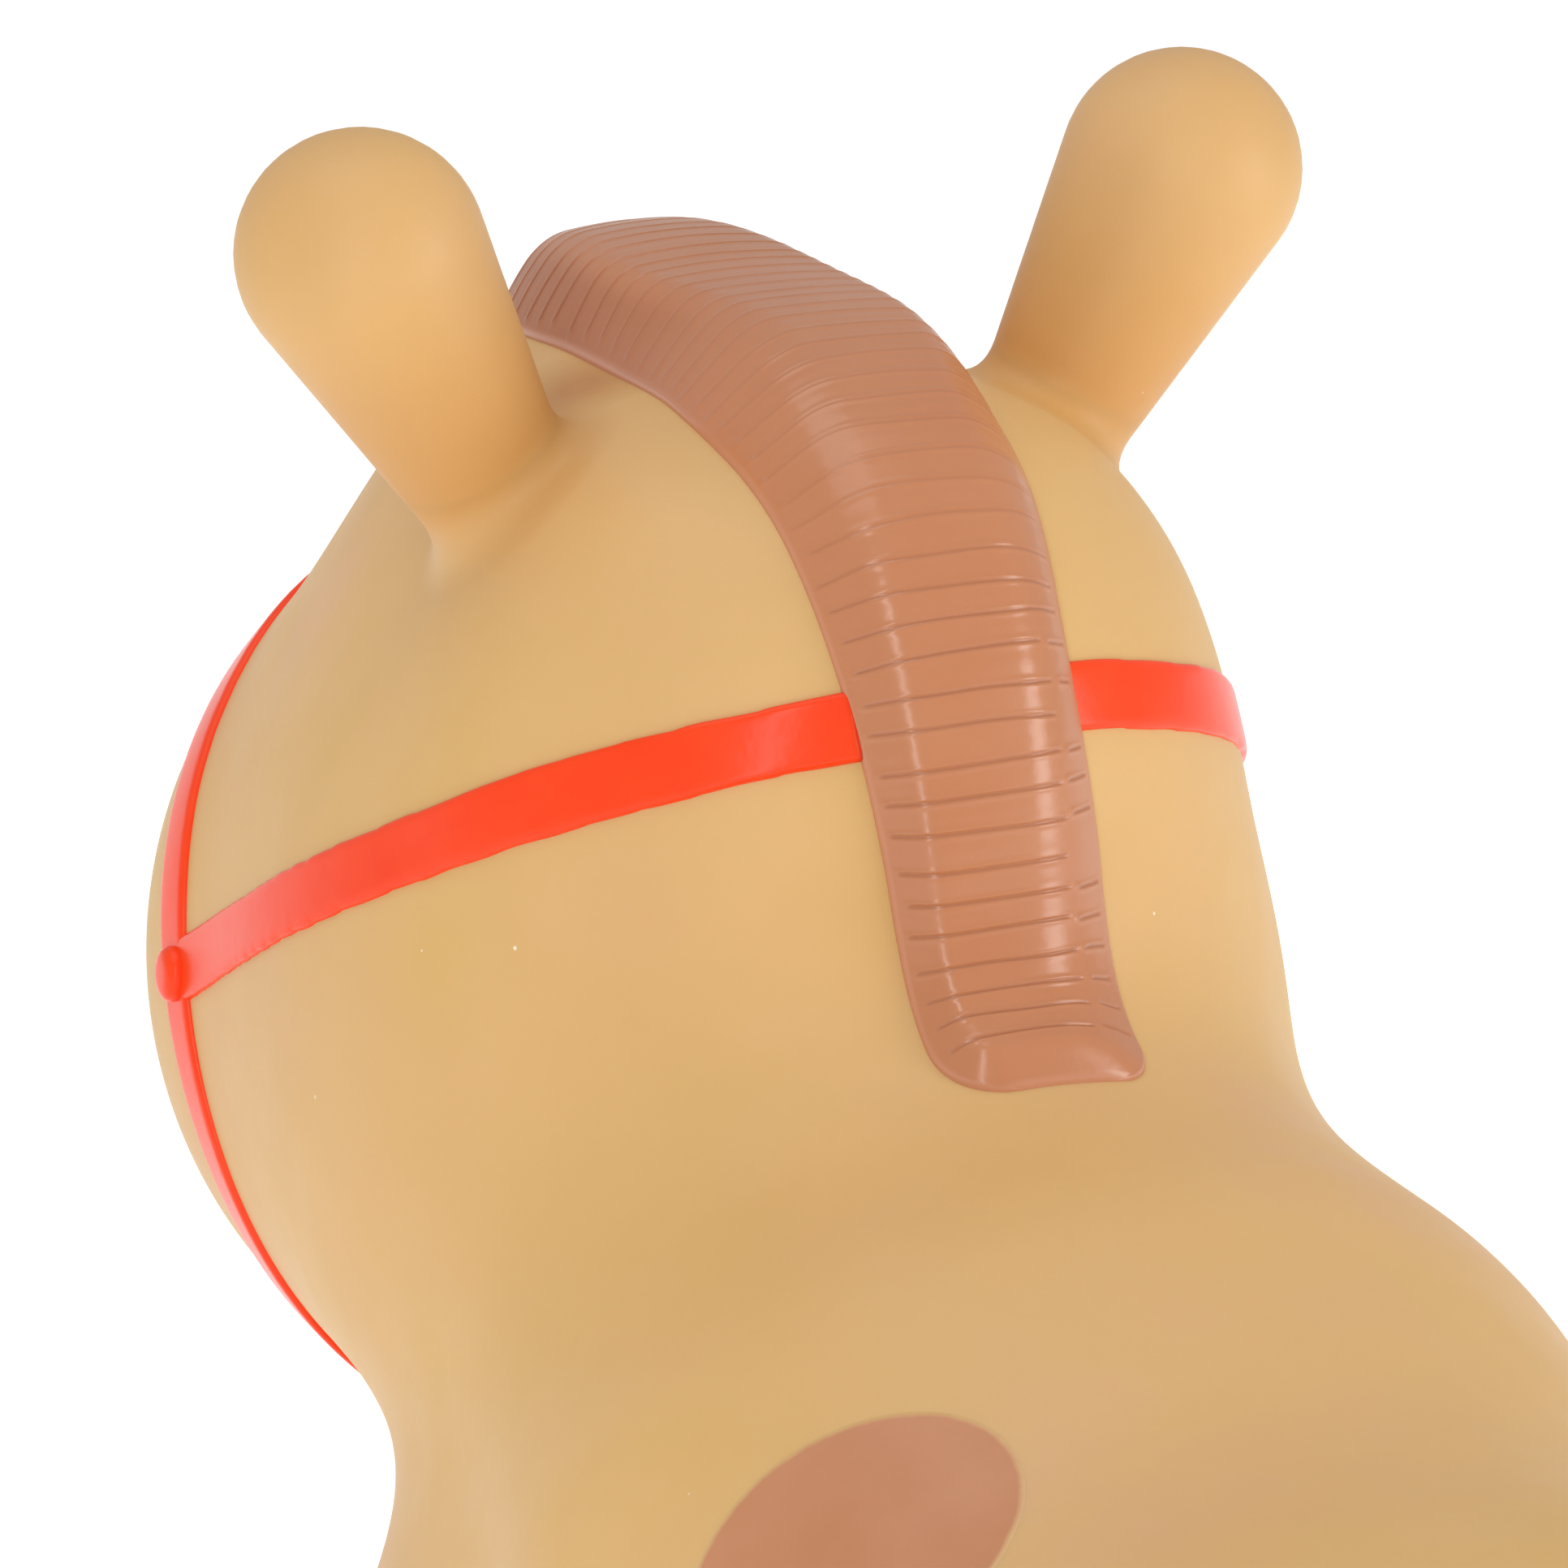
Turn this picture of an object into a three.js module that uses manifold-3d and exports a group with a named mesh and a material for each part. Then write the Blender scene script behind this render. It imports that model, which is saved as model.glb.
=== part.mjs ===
// Inflatable ride-on hopping horse: one moulded PVC skin on four stub legs, with two handle
// ears, a raised mane and tail, a raised bridle, painted patches and a belly valve. The skin
// is closed and filled here; the real one holds air.
// Millimetres, +Z up. The horse faces -Y and its left side is +X.
import * as THREE from "three";
import { mergeVertices } from "three/addons/utils/BufferGeometryUtils.js";
import Module from "manifold-3d";

const wasm = await Module();
wasm.setup();

// Driving dimensions
const FOOTPRINT_MIDDLE = 6.2; // the origin is moved back to the middle of the length
const GAP = 0.3; // clearance between touching pieces
const SKIN_CELL = 24; // facet size of the skin
const EAR_CELL = 10; // facet size of an ear

const SKULL = { centre: point(0, -178, 349), radii: point(68, 78, 100) };
const MUZZLE = { from: point(0, -104, 363), to: point(0, -203, 285), radii: [87, 108] };
const NECK = { from: point(0, -118, 287), to: point(0, -53, 222), radii: [109, 85] };
const POLL = { height: 445, blend: 20 }; // the top of the head is flattened at this level
const TORSO = { from: point(0, 28, 241), to: point(0, 200, 198), radii: [114, 103] };
const TORSO_FLATTEN = { height: 187, factor: 0.82 }; // the belly and back are flatter than the sides
const RUMP = { centre: point(0, 205, 209), radii: point(113, 96, 92) };
const LEG_RADII = [66, 47];
const FRONT_LEG = { from: point(62, -45, 160), to: point(104, -55, 38) };
const HIND_LEG = { from: point(62, 210, 160), to: point(104, 220, 38) };
const EAR = { from: point(58.6, -120, 417), to: point(90.4, -117, 475), radii: [15, 25.3] };

const HOOF_TOP = 34;
const LEG_TOP = 88;

const EAR_PIVOT = 8; // distance of the flexing point up the ear from its root
const EAR_SEAT_RADIUS = 26; // round seat that the ear rolls on
const EAR_ZONE = { from: 22, length: 90, radius: 42 }; // everything here moves with the ear

// The mane's cross-section at stages of its way, 0 at the forehead and 1 at the nape end:
// half its width, half its flat top, its height, and how far the band and its top lean left.
const MANE_STAGES = [
  { at: 0, half: 30, top: 15, height: 12, drift: 0, lean: 0 },
  { at: 0.1, half: 33, top: 17, height: 15, drift: 0, lean: 0 },
  { at: 0.2, half: 29, top: 20, height: 16, drift: 0, lean: -1 },
  { at: 0.33, half: 28.5, top: 17.5, height: 16, drift: 0, lean: -5 },
  { at: 0.43, half: 30.5, top: 16.5, height: 15, drift: 0, lean: -5.5 },
  { at: 0.55, half: 28, top: 14.5, height: 10, drift: 0, lean: -1 },
  { at: 0.7, half: 24, top: 14, height: 8, drift: 0, lean: 0 },
  { at: 0.87, half: 23, top: 13, height: 7, drift: -5, lean: 3 },
  { at: 1, half: 22, top: 12, height: 6.5, drift: -6, lean: 3 },
];
const MANE_EDGE = 1.8; // thickness of the mane at its border
const TAIL = { half: 19, ridge: 9, edge: 2, thick: 9 };
const STRAP = { half: 7, lift: 1.8 };
const BRIDLE_JOINT = point(107, -197, 297);
const DIP = 4; // how far a raised piece is drawn below the skin before it is trimmed to it

const COLOURS = {
  skin: 0xdeb47a,
  brown: 0xc68866,
  strap: 0xff532b,
  white: 0xf3efe6,
  black: 0x1d1a18,
  nostril: 0xa8684c,
  valve: 0xe9e4d8,
};

function point(x, y, z) {
  return new THREE.Vector3(x, y, z);
}

// ---- The rounded form, as a distance field: negative inside ----

function smoothUnion(a, b, blend) {
  const overlap = Math.max(blend - Math.abs(a - b), 0) / blend;
  return Math.min(a, b) - (overlap * overlap * blend) / 4;
}

function smoothCut(a, b, blend) {
  return -smoothUnion(-a, -b, blend);
}

function ellipsoid(p, centre, radii) {
  const away = p.clone().sub(centre);
  const near = away.clone().divide(radii);
  const steep = near.clone().divide(radii);
  const reach = near.length();
  return (reach * (reach - 1)) / Math.max(steep.length(), 1e-9);
}

// A round cone: two balls and the cone that touches both.
function roundCone(p, from, to, radii) {
  const axis = to.clone().sub(from);
  const length = axis.length();
  const away = p.clone().sub(from);
  const along = away.dot(axis) / length;
  const across = Math.sqrt(Math.max(away.lengthSq() - along * along, 0));
  const slope = (radii[0] - radii[1]) / length;
  const level = Math.sqrt(1 - slope * slope);
  const shifted = along * level - across * slope;
  if (shifted < 0) return away.length() - radii[0];
  if (shifted > length * level) return p.distanceTo(to) - radii[1];
  return across * level + along * slope - radii[0];
}

function bodyField(p) {
  const mirrored = point(Math.abs(p.x), p.y, p.z);
  const squashed = p.clone();
  squashed.z = TORSO_FLATTEN.height + (p.z - TORSO_FLATTEN.height) / TORSO_FLATTEN.factor;
  let d = ellipsoid(p, SKULL.centre, SKULL.radii);
  d = smoothUnion(d, roundCone(p, MUZZLE.from, MUZZLE.to, MUZZLE.radii), 30);
  d = smoothUnion(d, roundCone(p, NECK.from, NECK.to, NECK.radii), 30);
  d = smoothCut(d, p.z - POLL.height, POLL.blend);
  const torso = roundCone(squashed, TORSO.from, TORSO.to, TORSO.radii);
  d = smoothUnion(d, torso * TORSO_FLATTEN.factor, 45);
  d = smoothUnion(d, ellipsoid(p, RUMP.centre, RUMP.radii), 50);
  for (const leg of [FRONT_LEG, HIND_LEG]) {
    d = smoothUnion(d, roundCone(mirrored, leg.from, leg.to, LEG_RADII), 40);
  }
  return d;
}

function wholeField(p) {
  const mirrored = point(Math.abs(p.x), p.y, p.z);
  return smoothUnion(bodyField(p), roundCone(mirrored, EAR.from, EAR.to, EAR.radii), 16);
}

function gradient(field, p) {
  const step = 0.5;
  const slope = (dx, dy, dz) =>
    field(point(p.x + dx, p.y + dy, p.z + dz)) - field(point(p.x - dx, p.y - dy, p.z - dz));
  return point(slope(step, 0, 0), slope(0, step, 0), slope(0, 0, step)).divideScalar(2 * step);
}

// The nearest place on the skin to a point close to it.
function settle(p, field = bodyField) {
  const q = p.clone();
  for (let pass = 0; pass < 5; pass += 1) {
    const slope = gradient(field, q);
    q.addScaledVector(slope, -field(q) / slope.lengthSq());
  }
  return q;
}

function skinNormal(p) {
  return gradient(bodyField, p).normalize();
}

// The outermost place on the skin along a ray.
function skinAlong(origin, direction) {
  let reach = 400;
  const at = (distance) => origin.clone().addScaledVector(direction, distance);
  while (reach > 0 && bodyField(at(reach)) > 0) {
    reach -= 2;
  }
  return settle(at(reach + 1));
}

// ---- Solids ----

function solidFrom(points, triangles) {
  const vertProperties = new Float32Array(points.flatMap((p) => [p.x, p.y, p.z]));
  const triVerts = new Uint32Array(triangles);
  return new wasm.Manifold(new wasm.Mesh({ numProp: 3, vertProperties, triVerts }));
}

function solidOf(geometry) {
  const bare = geometry.clone();
  bare.deleteAttribute("normal");
  bare.deleteAttribute("uv");
  const merged = mergeVertices(bare, 1e-4);
  return new wasm.Manifold(
    new wasm.Mesh({
      numProp: 3,
      vertProperties: new Float32Array(merged.attributes.position.array),
      triVerts: new Uint32Array(merged.index.array),
    }),
  );
}

function box(low, high) {
  const size = high.clone().sub(low);
  const centre = low.clone().add(high).multiplyScalar(0.5);
  return solidOf(new THREE.BoxGeometry(...size).translate(...centre));
}

// Closed faceted skin of a field's zero level, one vertex to each grid cell it passes through.
function polygonise(field, low, high, cell) {
  const counts = high.clone().sub(low).divideScalar(cell).ceil();
  const [nx, ny, nz] = counts.toArray().map((count) => count + 1);
  const corner = (i, j, k) => point(low.x + i * cell, low.y + j * cell, low.z + k * cell);
  const index = (i, j, k) => i + nx * (j + ny * k);
  const values = new Float64Array(nx * ny * nz);
  for (let k = 0; k < nz; k += 1) {
    for (let j = 0; j < ny; j += 1) {
      for (let i = 0; i < nx; i += 1) {
        values[index(i, j, k)] = field(corner(i, j, k));
      }
    }
  }
  const corners = [0, 1, 2, 3, 4, 5, 6, 7].map((bit) => [bit & 1, (bit >> 1) & 1, bit >> 2]);
  const edges = [];
  for (let a = 0; a < 8; a += 1) {
    for (const bit of [1, 2, 4]) {
      if (!(a & bit)) edges.push([a, a | bit]);
    }
  }
  const vertices = [];
  const vertexOf = new Map();
  for (let k = 0; k < nz - 1; k += 1) {
    for (let j = 0; j < ny - 1; j += 1) {
      for (let i = 0; i < nx - 1; i += 1) {
        const level = corners.map(([a, b, c]) => values[index(i + a, j + b, k + c)]);
        const sum = point(0, 0, 0);
        let crossings = 0;
        for (const [a, b] of edges) {
          if (level[a] < 0 === level[b] < 0) continue;
          const start = corner(i + corners[a][0], j + corners[a][1], k + corners[a][2]);
          const end = corner(i + corners[b][0], j + corners[b][1], k + corners[b][2]);
          sum.add(start.lerp(end, level[a] / (level[a] - level[b])));
          crossings += 1;
        }
        if (crossings === 0) continue;
        vertexOf.set(index(i, j, k), vertices.length);
        vertices.push(settle(sum.divideScalar(crossings), field));
      }
    }
  }
  const triangles = [];
  const steps = [index(1, 0, 0), index(0, 1, 0), index(0, 0, 1)];
  const limits = [nx, ny, nz];
  for (let k = 0; k < nz - 1; k += 1) {
    for (let j = 0; j < ny - 1; j += 1) {
      for (let i = 0; i < nx - 1; i += 1) {
        const here = [i, j, k];
        const start = index(i, j, k);
        for (let axis = 0; axis < 3; axis += 1) {
          const u = (axis + 1) % 3;
          const v = (axis + 2) % 3;
          const inside = values[start] < 0;
          if (here[axis] + 1 >= limits[axis] || here[u] === 0 || here[v] === 0) continue;
          if (inside === values[start + steps[axis]] < 0) continue;
          const ring = [start, start - steps[u], start - steps[u] - steps[v], start - steps[v]];
          const quad = ring.map((place) => vertexOf.get(place));
          if (!inside) quad.reverse();
          const [a, b, c, d] = quad;
          const cutShort =
            vertices[a].distanceToSquared(vertices[c]) < vertices[b].distanceToSquared(vertices[d]);
          triangles.push(...(cutShort ? [a, b, c, a, c, d] : [a, b, d, b, c, d]));
        }
      }
    }
  }
  return { field, vertices, triangles };
}

// The solid inside a faceted skin, its vertices moved outwards by an amount.
function filled({ field, vertices, triangles }, amount = 0) {
  const moved = vertices.map((p) => p.clone().addScaledVector(gradient(field, p).normalize(), amount));
  return solidFrom(moved, triangles);
}

// Cross-sections joined in order. A closed band's last section meets its first.
function loft(sections, closed) {
  const sides = sections[0].length;
  const triangles = [];
  const spans = closed ? sections.length : sections.length - 1;
  for (let row = 0; row < spans; row += 1) {
    const next = (row + 1) % sections.length;
    for (let side = 0; side < sides; side += 1) {
      const a = row * sides + side;
      const b = row * sides + ((side + 1) % sides);
      const c = next * sides + ((side + 1) % sides);
      const d = next * sides + side;
      triangles.push(a, b, c, a, c, d);
    }
  }
  if (!closed) {
    const last = (sections.length - 1) * sides;
    for (let side = 1; side < sides - 1; side += 1) {
      triangles.push(0, side + 1, side);
      triangles.push(last, last + side, last + side + 1);
    }
  }
  const solid = solidFrom(sections.flat(), triangles);
  return solid.volume() < 0 ? solidFrom(sections.flat(), triangles.reverse()) : solid;
}

// A raised band laid along a path on the skin. Each profile entry is [offset, height].
function band(path, profileAt, closed = false) {
  const sections = path.map((place, i) => {
    const before = path[closed ? (i + path.length - 1) % path.length : Math.max(i - 1, 0)];
    const after = path[closed ? (i + 1) % path.length : Math.min(i + 1, path.length - 1)];
    const along = after.clone().sub(before).normalize();
    const across = along.cross(skinNormal(place)).normalize();
    return profileAt(i / (path.length - 1)).map(([offset, height]) => {
      const foot = settle(place.clone().addScaledVector(across, offset));
      return foot.addScaledVector(skinNormal(foot), height);
    });
  });
  return loft(sections, closed);
}

// A thin patch on the skin. outline(angle) gives its reach from the middle in mm.
function patch(middle, upward, outline, lift, sectors = 18) {
  const centre = settle(middle);
  const normal = skinNormal(centre);
  const side = upward.clone().cross(normal).normalize();
  const up = normal.clone().cross(side);
  const layer = (height, share) =>
    Array.from({ length: sectors }, (_, i) => {
      const angle = (2 * Math.PI * i) / sectors;
      const reach = outline(angle) * share;
      const foot = centre
        .clone()
        .addScaledVector(side, reach * Math.cos(angle))
        .addScaledVector(up, reach * Math.sin(angle));
      const place = settle(foot);
      return place.addScaledVector(skinNormal(place), height);
    });
  const rings = [layer(-DIP, 0.45), layer(-DIP, 1), layer(lift, 1), layer(lift, 0.45)];
  const points = rings.flat();
  const triangles = [];
  for (let ring = 0; ring < rings.length - 1; ring += 1) {
    for (let i = 0; i < sectors; i += 1) {
      const a = ring * sectors + i;
      const b = ring * sectors + ((i + 1) % sectors);
      triangles.push(a, b, b + sectors, a, b + sectors, a + sectors);
    }
  }
  const bottom = points.push(centre.clone().addScaledVector(normal, -DIP)) - 1;
  const top = points.push(centre.clone().addScaledVector(normal, lift)) - 1;
  const lastRing = (rings.length - 1) * sectors;
  for (let i = 0; i < sectors; i += 1) {
    const next = (i + 1) % sectors;
    triangles.push(bottom, next, i);
    triangles.push(top, lastRing + i, lastRing + next);
  }
  return solidFrom(points, triangles);
}

const oval = (wide, high) => (angle) =>
  (wide * high) / Math.hypot(high * Math.cos(angle), wide * Math.sin(angle));

// An egg: an oval that is drawn out towards its top or bottom.
const egg = (wide, high, lean) => (angle) =>
  oval(wide, high)(angle) * (1 + lean * Math.sin(angle));

// The same outline turned by an angle in degrees.
const turned = (outline, degrees) => (angle) => outline(angle - THREE.MathUtils.degToRad(degrees));

// ---- Skin, ears, legs and hooves ----

const BODY_LOW = point(-168, -336, -36);
const BODY_HIGH = point(168, 336, 468);

function earFrame(side) {
  const root = EAR.from.clone();
  const tip = EAR.to.clone();
  root.x *= side;
  tip.x *= side;
  const axis = tip.clone().sub(root).normalize();
  return { root, axis, pivot: root.clone().addScaledVector(axis, EAR_PIVOT) };
}

// The fine skin of one ear and the head around its root.
function earRegion(side) {
  const { root, axis } = earFrame(side);
  const from = root.clone().addScaledVector(axis, -8);
  const to = root.clone().addScaledVector(axis, 75);
  const nearEar = (p) => roundCone(p, from, to, [36, 36]);
  const field = (p) => Math.max(wholeField(p), nearEar(p));
  const low = point(Math.min(from.x, to.x) - 48, -176, 352);
  const high = point(Math.max(from.x, to.x) + 48, -64, 528);
  return polygonise(field, low, high, EAR_CELL);
}

function earZone(side, seatRadius) {
  const { root, axis, pivot } = earFrame(side);
  const middle = root.clone().addScaledVector(axis, EAR_ZONE.from + EAR_ZONE.length / 2);
  const turn = new THREE.Quaternion().setFromUnitVectors(point(0, 1, 0), axis);
  const zone = new THREE.CylinderGeometry(EAR_ZONE.radius, EAR_ZONE.radius, EAR_ZONE.length, 24);
  zone.applyQuaternion(turn).translate(...middle);
  const seat = new THREE.SphereGeometry(seatRadius, 32, 20).translate(...pivot);
  return solidOf(zone).subtract(solidOf(seat));
}

// grownSkin is the skin moved out by the gap, and trims every piece that lies on the skin.
const bodySurface = polygonise(bodyField, BODY_LOW, BODY_HIGH, SKIN_CELL);
let skin = filled(bodySurface);
let grownSkin = filled(bodySurface, GAP);
const pieces = {};
for (const [name, side] of [["left", 1], ["right", -1]]) {
  const surface = earRegion(side);
  const region = filled(surface);
  pieces[`ear_${name}`] = region.intersect(earZone(side, EAR_SEAT_RADIUS + 2 * GAP));
  skin = skin.add(region.subtract(earZone(side, EAR_SEAT_RADIUS)));
  grownSkin = grownSkin.add(filled(surface, GAP));
}

// The valve sits in the belly, between the front and hind legs.
const VALVE = { y: 45, hole: 17.3, collar: 17, bore: 6.6, shaft: 6.3, cap: 10 };
const VALVE_Z = settle(point(0, VALVE.y, 135)).z;

function lathe(outline, segments = 24) {
  const profile = outline.map(([radius, height]) => new THREE.Vector2(radius, height));
  const geometry = new THREE.LatheGeometry(profile, segments);
  return solidOf(geometry.rotateX(Math.PI / 2));
}

function disc(radius, low, high) {
  return lathe([[0, low], [radius, low], [radius, high], [0, high]]);
}

const valveHole = disc(VALVE.hole, VALVE_Z - 30, VALVE_Z + 5 + GAP).translate(0, VALVE.y, 0);
const valveWell = disc(VALVE.shaft + GAP, VALVE_Z, VALVE_Z + 20).translate(0, VALVE.y, 0);
pieces.body_shell = skin
  .subtract(valveHole)
  .subtract(valveWell)
  .intersect(box(point(-200, -400, LEG_TOP + GAP), point(200, 400, 600)));

const LEG_SPANS = { front: [-160, 80], hind: [90, 340] };
const LEG_SPLIT = 2; // the left and right legs are parted this far from the middle plane
const BEYOND = 200; // past the side of the horse
for (const [end, [fore, rear]] of Object.entries(LEG_SPANS)) {
  for (const [name, side] of [["left", 1], ["right", -1]]) {
    const low = side > 0 ? LEG_SPLIT : -BEYOND;
    const high = side > 0 ? BEYOND : -LEG_SPLIT;
    const span = (bottom, top) => box(point(low, fore, bottom), point(high, rear, top));
    pieces[`leg_${end}_${name}`] = skin.intersect(span(HOOF_TOP + GAP, LEG_TOP - GAP));
    pieces[`hoof_${end}_${name}`] = skin.intersect(span(0, HOOF_TOP - GAP));
  }
}

// ---- Raised mane, tail and bridle ----

const count = (number, make) => Array.from({ length: number }, (_, i) => make(i / (number - 1)));
const sunk = -DIP;

// Flat-topped ridge with a bevel down each side. The ridge may stand beside its path, and its
// top may lean towards one side.
function ridge(half, top, edge, height, drift = 0, lean = 0) {
  const outline = [[-half, sunk], [0, sunk], [half, sunk], [half, edge], [top + lean, height],
    [lean - top, height], [-half, edge]];
  return outline.map(([offset, level]) => [offset + drift, level]);
}

const MANE_HUB = point(0, -120, 300);
const MANE_FROM = THREE.MathUtils.degToRad(124);
const MANE_TO = THREE.MathUtils.degToRad(12.4);

function maneStage(t, measure) {
  const next = Math.max(MANE_STAGES.findIndex((stage) => stage.at >= t), 1);
  const [before, after] = [MANE_STAGES[next - 1], MANE_STAGES[next]];
  const share = (t - before.at) / (after.at - before.at);
  return THREE.MathUtils.lerp(before[measure], after[measure], share);
}

const manePath = count(26, (t) => {
  const angle = THREE.MathUtils.lerp(MANE_FROM, MANE_TO, t);
  return skinAlong(MANE_HUB, point(0, Math.cos(angle), Math.sin(angle)));
});
const mane = band(manePath, (t) => {
  const measures = ["half", "top", "height", "drift", "lean"];
  const [half, top, height, drift, lean] = measures.map((measure) => maneStage(t, measure));
  return ridge(half, top, MANE_EDGE, height, drift, lean);
});

const TAIL_HUB = point(0, 205, 205);
const TAIL_FROM = THREE.MathUtils.degToRad(62);
const TAIL_TO = THREE.MathUtils.degToRad(-22);
const tailPath = count(14, (t) => {
  const angle = THREE.MathUtils.lerp(TAIL_FROM, TAIL_TO, t);
  return skinAlong(TAIL_HUB, point(0, Math.cos(angle), Math.sin(angle)));
});
const tail = band(tailPath, (t) => {
  const taper = 0.55 + 0.45 * Math.sin(Math.PI * Math.min(t * 1.25 + 0.1, 1));
  return ridge(TAIL.half * taper, TAIL.ridge * taper, TAIL.edge, TAIL.thick * (0.6 + 0.4 * taper));
});

const strapProfile = () => [
  [-STRAP.half, sunk],
  [STRAP.half, sunk],
  [STRAP.half, STRAP.lift],
  [-STRAP.half, STRAP.lift],
];

// The noseband lies forward over the nose and runs back and down under the jaw.
const NOSEBAND = { top: -280, side: -194, throat: -176, height: 288 };
const NOSEBAND_TILT = (NOSEBAND.top - NOSEBAND.throat) / 2;
const NOSEBAND_BOW = (NOSEBAND.top + NOSEBAND.throat) / 2 - NOSEBAND.side;
const NOSEBAND_STEPS = 36;
const nosebandPath = Array.from({ length: NOSEBAND_STEPS }, (_, i) => {
  const angle = (2 * Math.PI * i) / NOSEBAND_STEPS;
  const lean = Math.cos(angle);
  const y = NOSEBAND.side + NOSEBAND_TILT * lean + NOSEBAND_BOW * lean ** 2;
  return skinAlong(point(0, y, NOSEBAND.height), point(Math.sin(angle), 0, lean));
});
const noseband = band(nosebandPath, strapProfile, true);

// The cheek strap lies in a plane that rises towards the nape and ends at the mane.
const CHEEK = { centre: point(0, -121, 341), rise: point(0, 0.866, 0.5), from: -36.2, to: 76 };
function cheekPath(side) {
  return count(24, (t) => {
    const angle = THREE.MathUtils.degToRad(THREE.MathUtils.lerp(CHEEK.from, CHEEK.to, t));
    const direction = CHEEK.rise.clone().multiplyScalar(Math.sin(angle));
    direction.x = side * Math.cos(angle);
    return skinAlong(CHEEK.centre, direction);
  });
}

const trimmed = (solid) => solid.subtract(grownSkin);
pieces.mane = trimmed(mane);
pieces.tail = trimmed(tail);
pieces.noseband = trimmed(noseband);
for (const [name, side] of [["left", 1], ["right", -1]]) {
  pieces[`cheek_strap_${name}`] = trimmed(band(cheekPath(side), strapProfile));
}

// ---- Round boss where the straps meet, and the face ----

const across = (place, side) => point(place.x * side, place.y, place.z);

for (const [name, side] of [["left", 1], ["right", -1]]) {
  const joint = settle(across(BRIDLE_JOINT, side));
  const normal = skinNormal(joint);
  const boss = lathe([[0, 2.4], [6, 2.4], [6, 3.4], [4.4, 4.6], [0, 5]], 20);
  const geometry = geometryOf(boss);
  geometry.applyQuaternion(new THREE.Quaternion().setFromUnitVectors(point(0, 0, 1), normal));
  geometry.translate(...joint);
  pieces[`rosette_${name}`] = solidOf(geometry);
}

const UP = point(0, 0, 1);
const FORWARD = point(0, -1, 0);
const EYE = { place: point(47, -234, 397), wide: 11.5, high: 15, lift: 0.8 };
const PUPIL = { place: point(46, -236, 395), wide: 6.5, high: 9, lift: 1.6 };
const NOSTRIL = { place: point(34, -305, 300), wide: 7, high: 5, lift: 0.8 };
for (const [name, side] of [["left", 1], ["right", -1]]) {
  const white = patch(across(EYE.place, side), UP, oval(EYE.wide, EYE.high), EYE.lift);
  const pupil = patch(across(PUPIL.place, side), UP, oval(PUPIL.wide, PUPIL.high), PUPIL.lift, 14);
  const clearance = patch(
    across(PUPIL.place, side), UP, oval(PUPIL.wide + GAP, PUPIL.high + GAP), PUPIL.lift + 1, 14);
  pieces[`eye_white_${name}`] = trimmed(white).subtract(clearance);
  pieces[`eye_pupil_${name}`] = trimmed(pupil);
  const nostril = oval(NOSTRIL.wide, NOSTRIL.high);
  pieces[`nostril_${name}`] = trimmed(patch(across(NOSTRIL.place, side), UP, nostril, NOSTRIL.lift, 12));
}

// ---- Painted patches on the coat ----

const SPOT_LIFT = 1.1;
const spotLevel = filled(bodySurface, SPOT_LIFT);
const SPOTS = {
  shoulder_left: [point(73, 101, 285), turned(egg(31, 42, 0.25), 90)],
  shoulder_right: [point(-108, 70, 228), egg(24, 33, -0.1)],
  flank_left: [point(112, 170, 200), egg(26, 22, 0.1)],
  flank_right: [point(-112, 190, 215), egg(30, 26, 0.15)],
  rump_left: [point(60, 262, 262), egg(24, 30, 0.1)],
  rump_right: [point(-45, 210, 295), egg(26, 20, -0.12)],
  chest_left: [point(60, -118, 150), egg(20, 26, 0.1)],
};
for (const [name, [place, outline]] of Object.entries(SPOTS)) {
  const prism = patch(place, FORWARD, outline, 3 * SPOT_LIFT);
  pieces[`spot_${name}`] = trimmed(prism.intersect(spotLevel));
}

// ---- Belly valve: a collar welded into the skin and the stopper pushed into it ----

const collar = lathe([
  [VALVE.bore, -1.5], [VALVE.collar, -1.5], [VALVE.collar, 5], [VALVE.bore, 5], [VALVE.bore, -1.5],
]);
const plug = lathe([
  [0, -4.5], [VALVE.cap, -4.5], [VALVE.cap, -1.8], [VALVE.shaft, -1.8], [VALVE.shaft, 9],
  [VALVE.shaft - 1.2, 11], [0, 11],
]);
pieces.valve_collar = collar.translate(0, VALVE.y, VALVE_Z);
pieces.valve_plug = plug.translate(0, VALVE.y, VALVE_Z);

// ---- The object ----

function geometryOf(solid) {
  const mesh = solid.getMesh();
  const geometry = new THREE.BufferGeometry();
  geometry.setAttribute("position", new THREE.BufferAttribute(new Float32Array(mesh.vertProperties), 3));
  geometry.setIndex(new THREE.BufferAttribute(new Uint32Array(mesh.triVerts), 1));
  geometry.computeVertexNormals();
  return geometry;
}

const LOOKS = [
  [/^(body_shell|ear|leg)/, COLOURS.skin, 0.45],
  [/^(hoof|mane|tail|spot)/, COLOURS.brown, 0.4],
  [/^(noseband|cheek|rosette)/, COLOURS.strap, 0.25],
  [/^eye_white/, COLOURS.white, 0.3],
  [/^eye_pupil/, COLOURS.black, 0.2],
  [/^nostril/, COLOURS.nostril, 0.5],
  [/^valve/, COLOURS.valve, 0.5],
];

const horse = new THREE.Group();
for (const [name, solid] of Object.entries(pieces)) {
  const [, color, roughness] = LOOKS.find(([pattern]) => pattern.test(name));
  const material = new THREE.MeshStandardMaterial({ color, roughness, metalness: 0, flatShading: true });
  const mesh = new THREE.Mesh(geometryOf(solid), material);
  mesh.name = name;
  horse.add(mesh);
}
horse.position.y = -FOOTPRINT_MIDDLE;

export default horse;
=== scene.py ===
# Inflatable hopping horse: moulded PVC skin, ear handles, raised mane, tail and bridle.
import math

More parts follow.
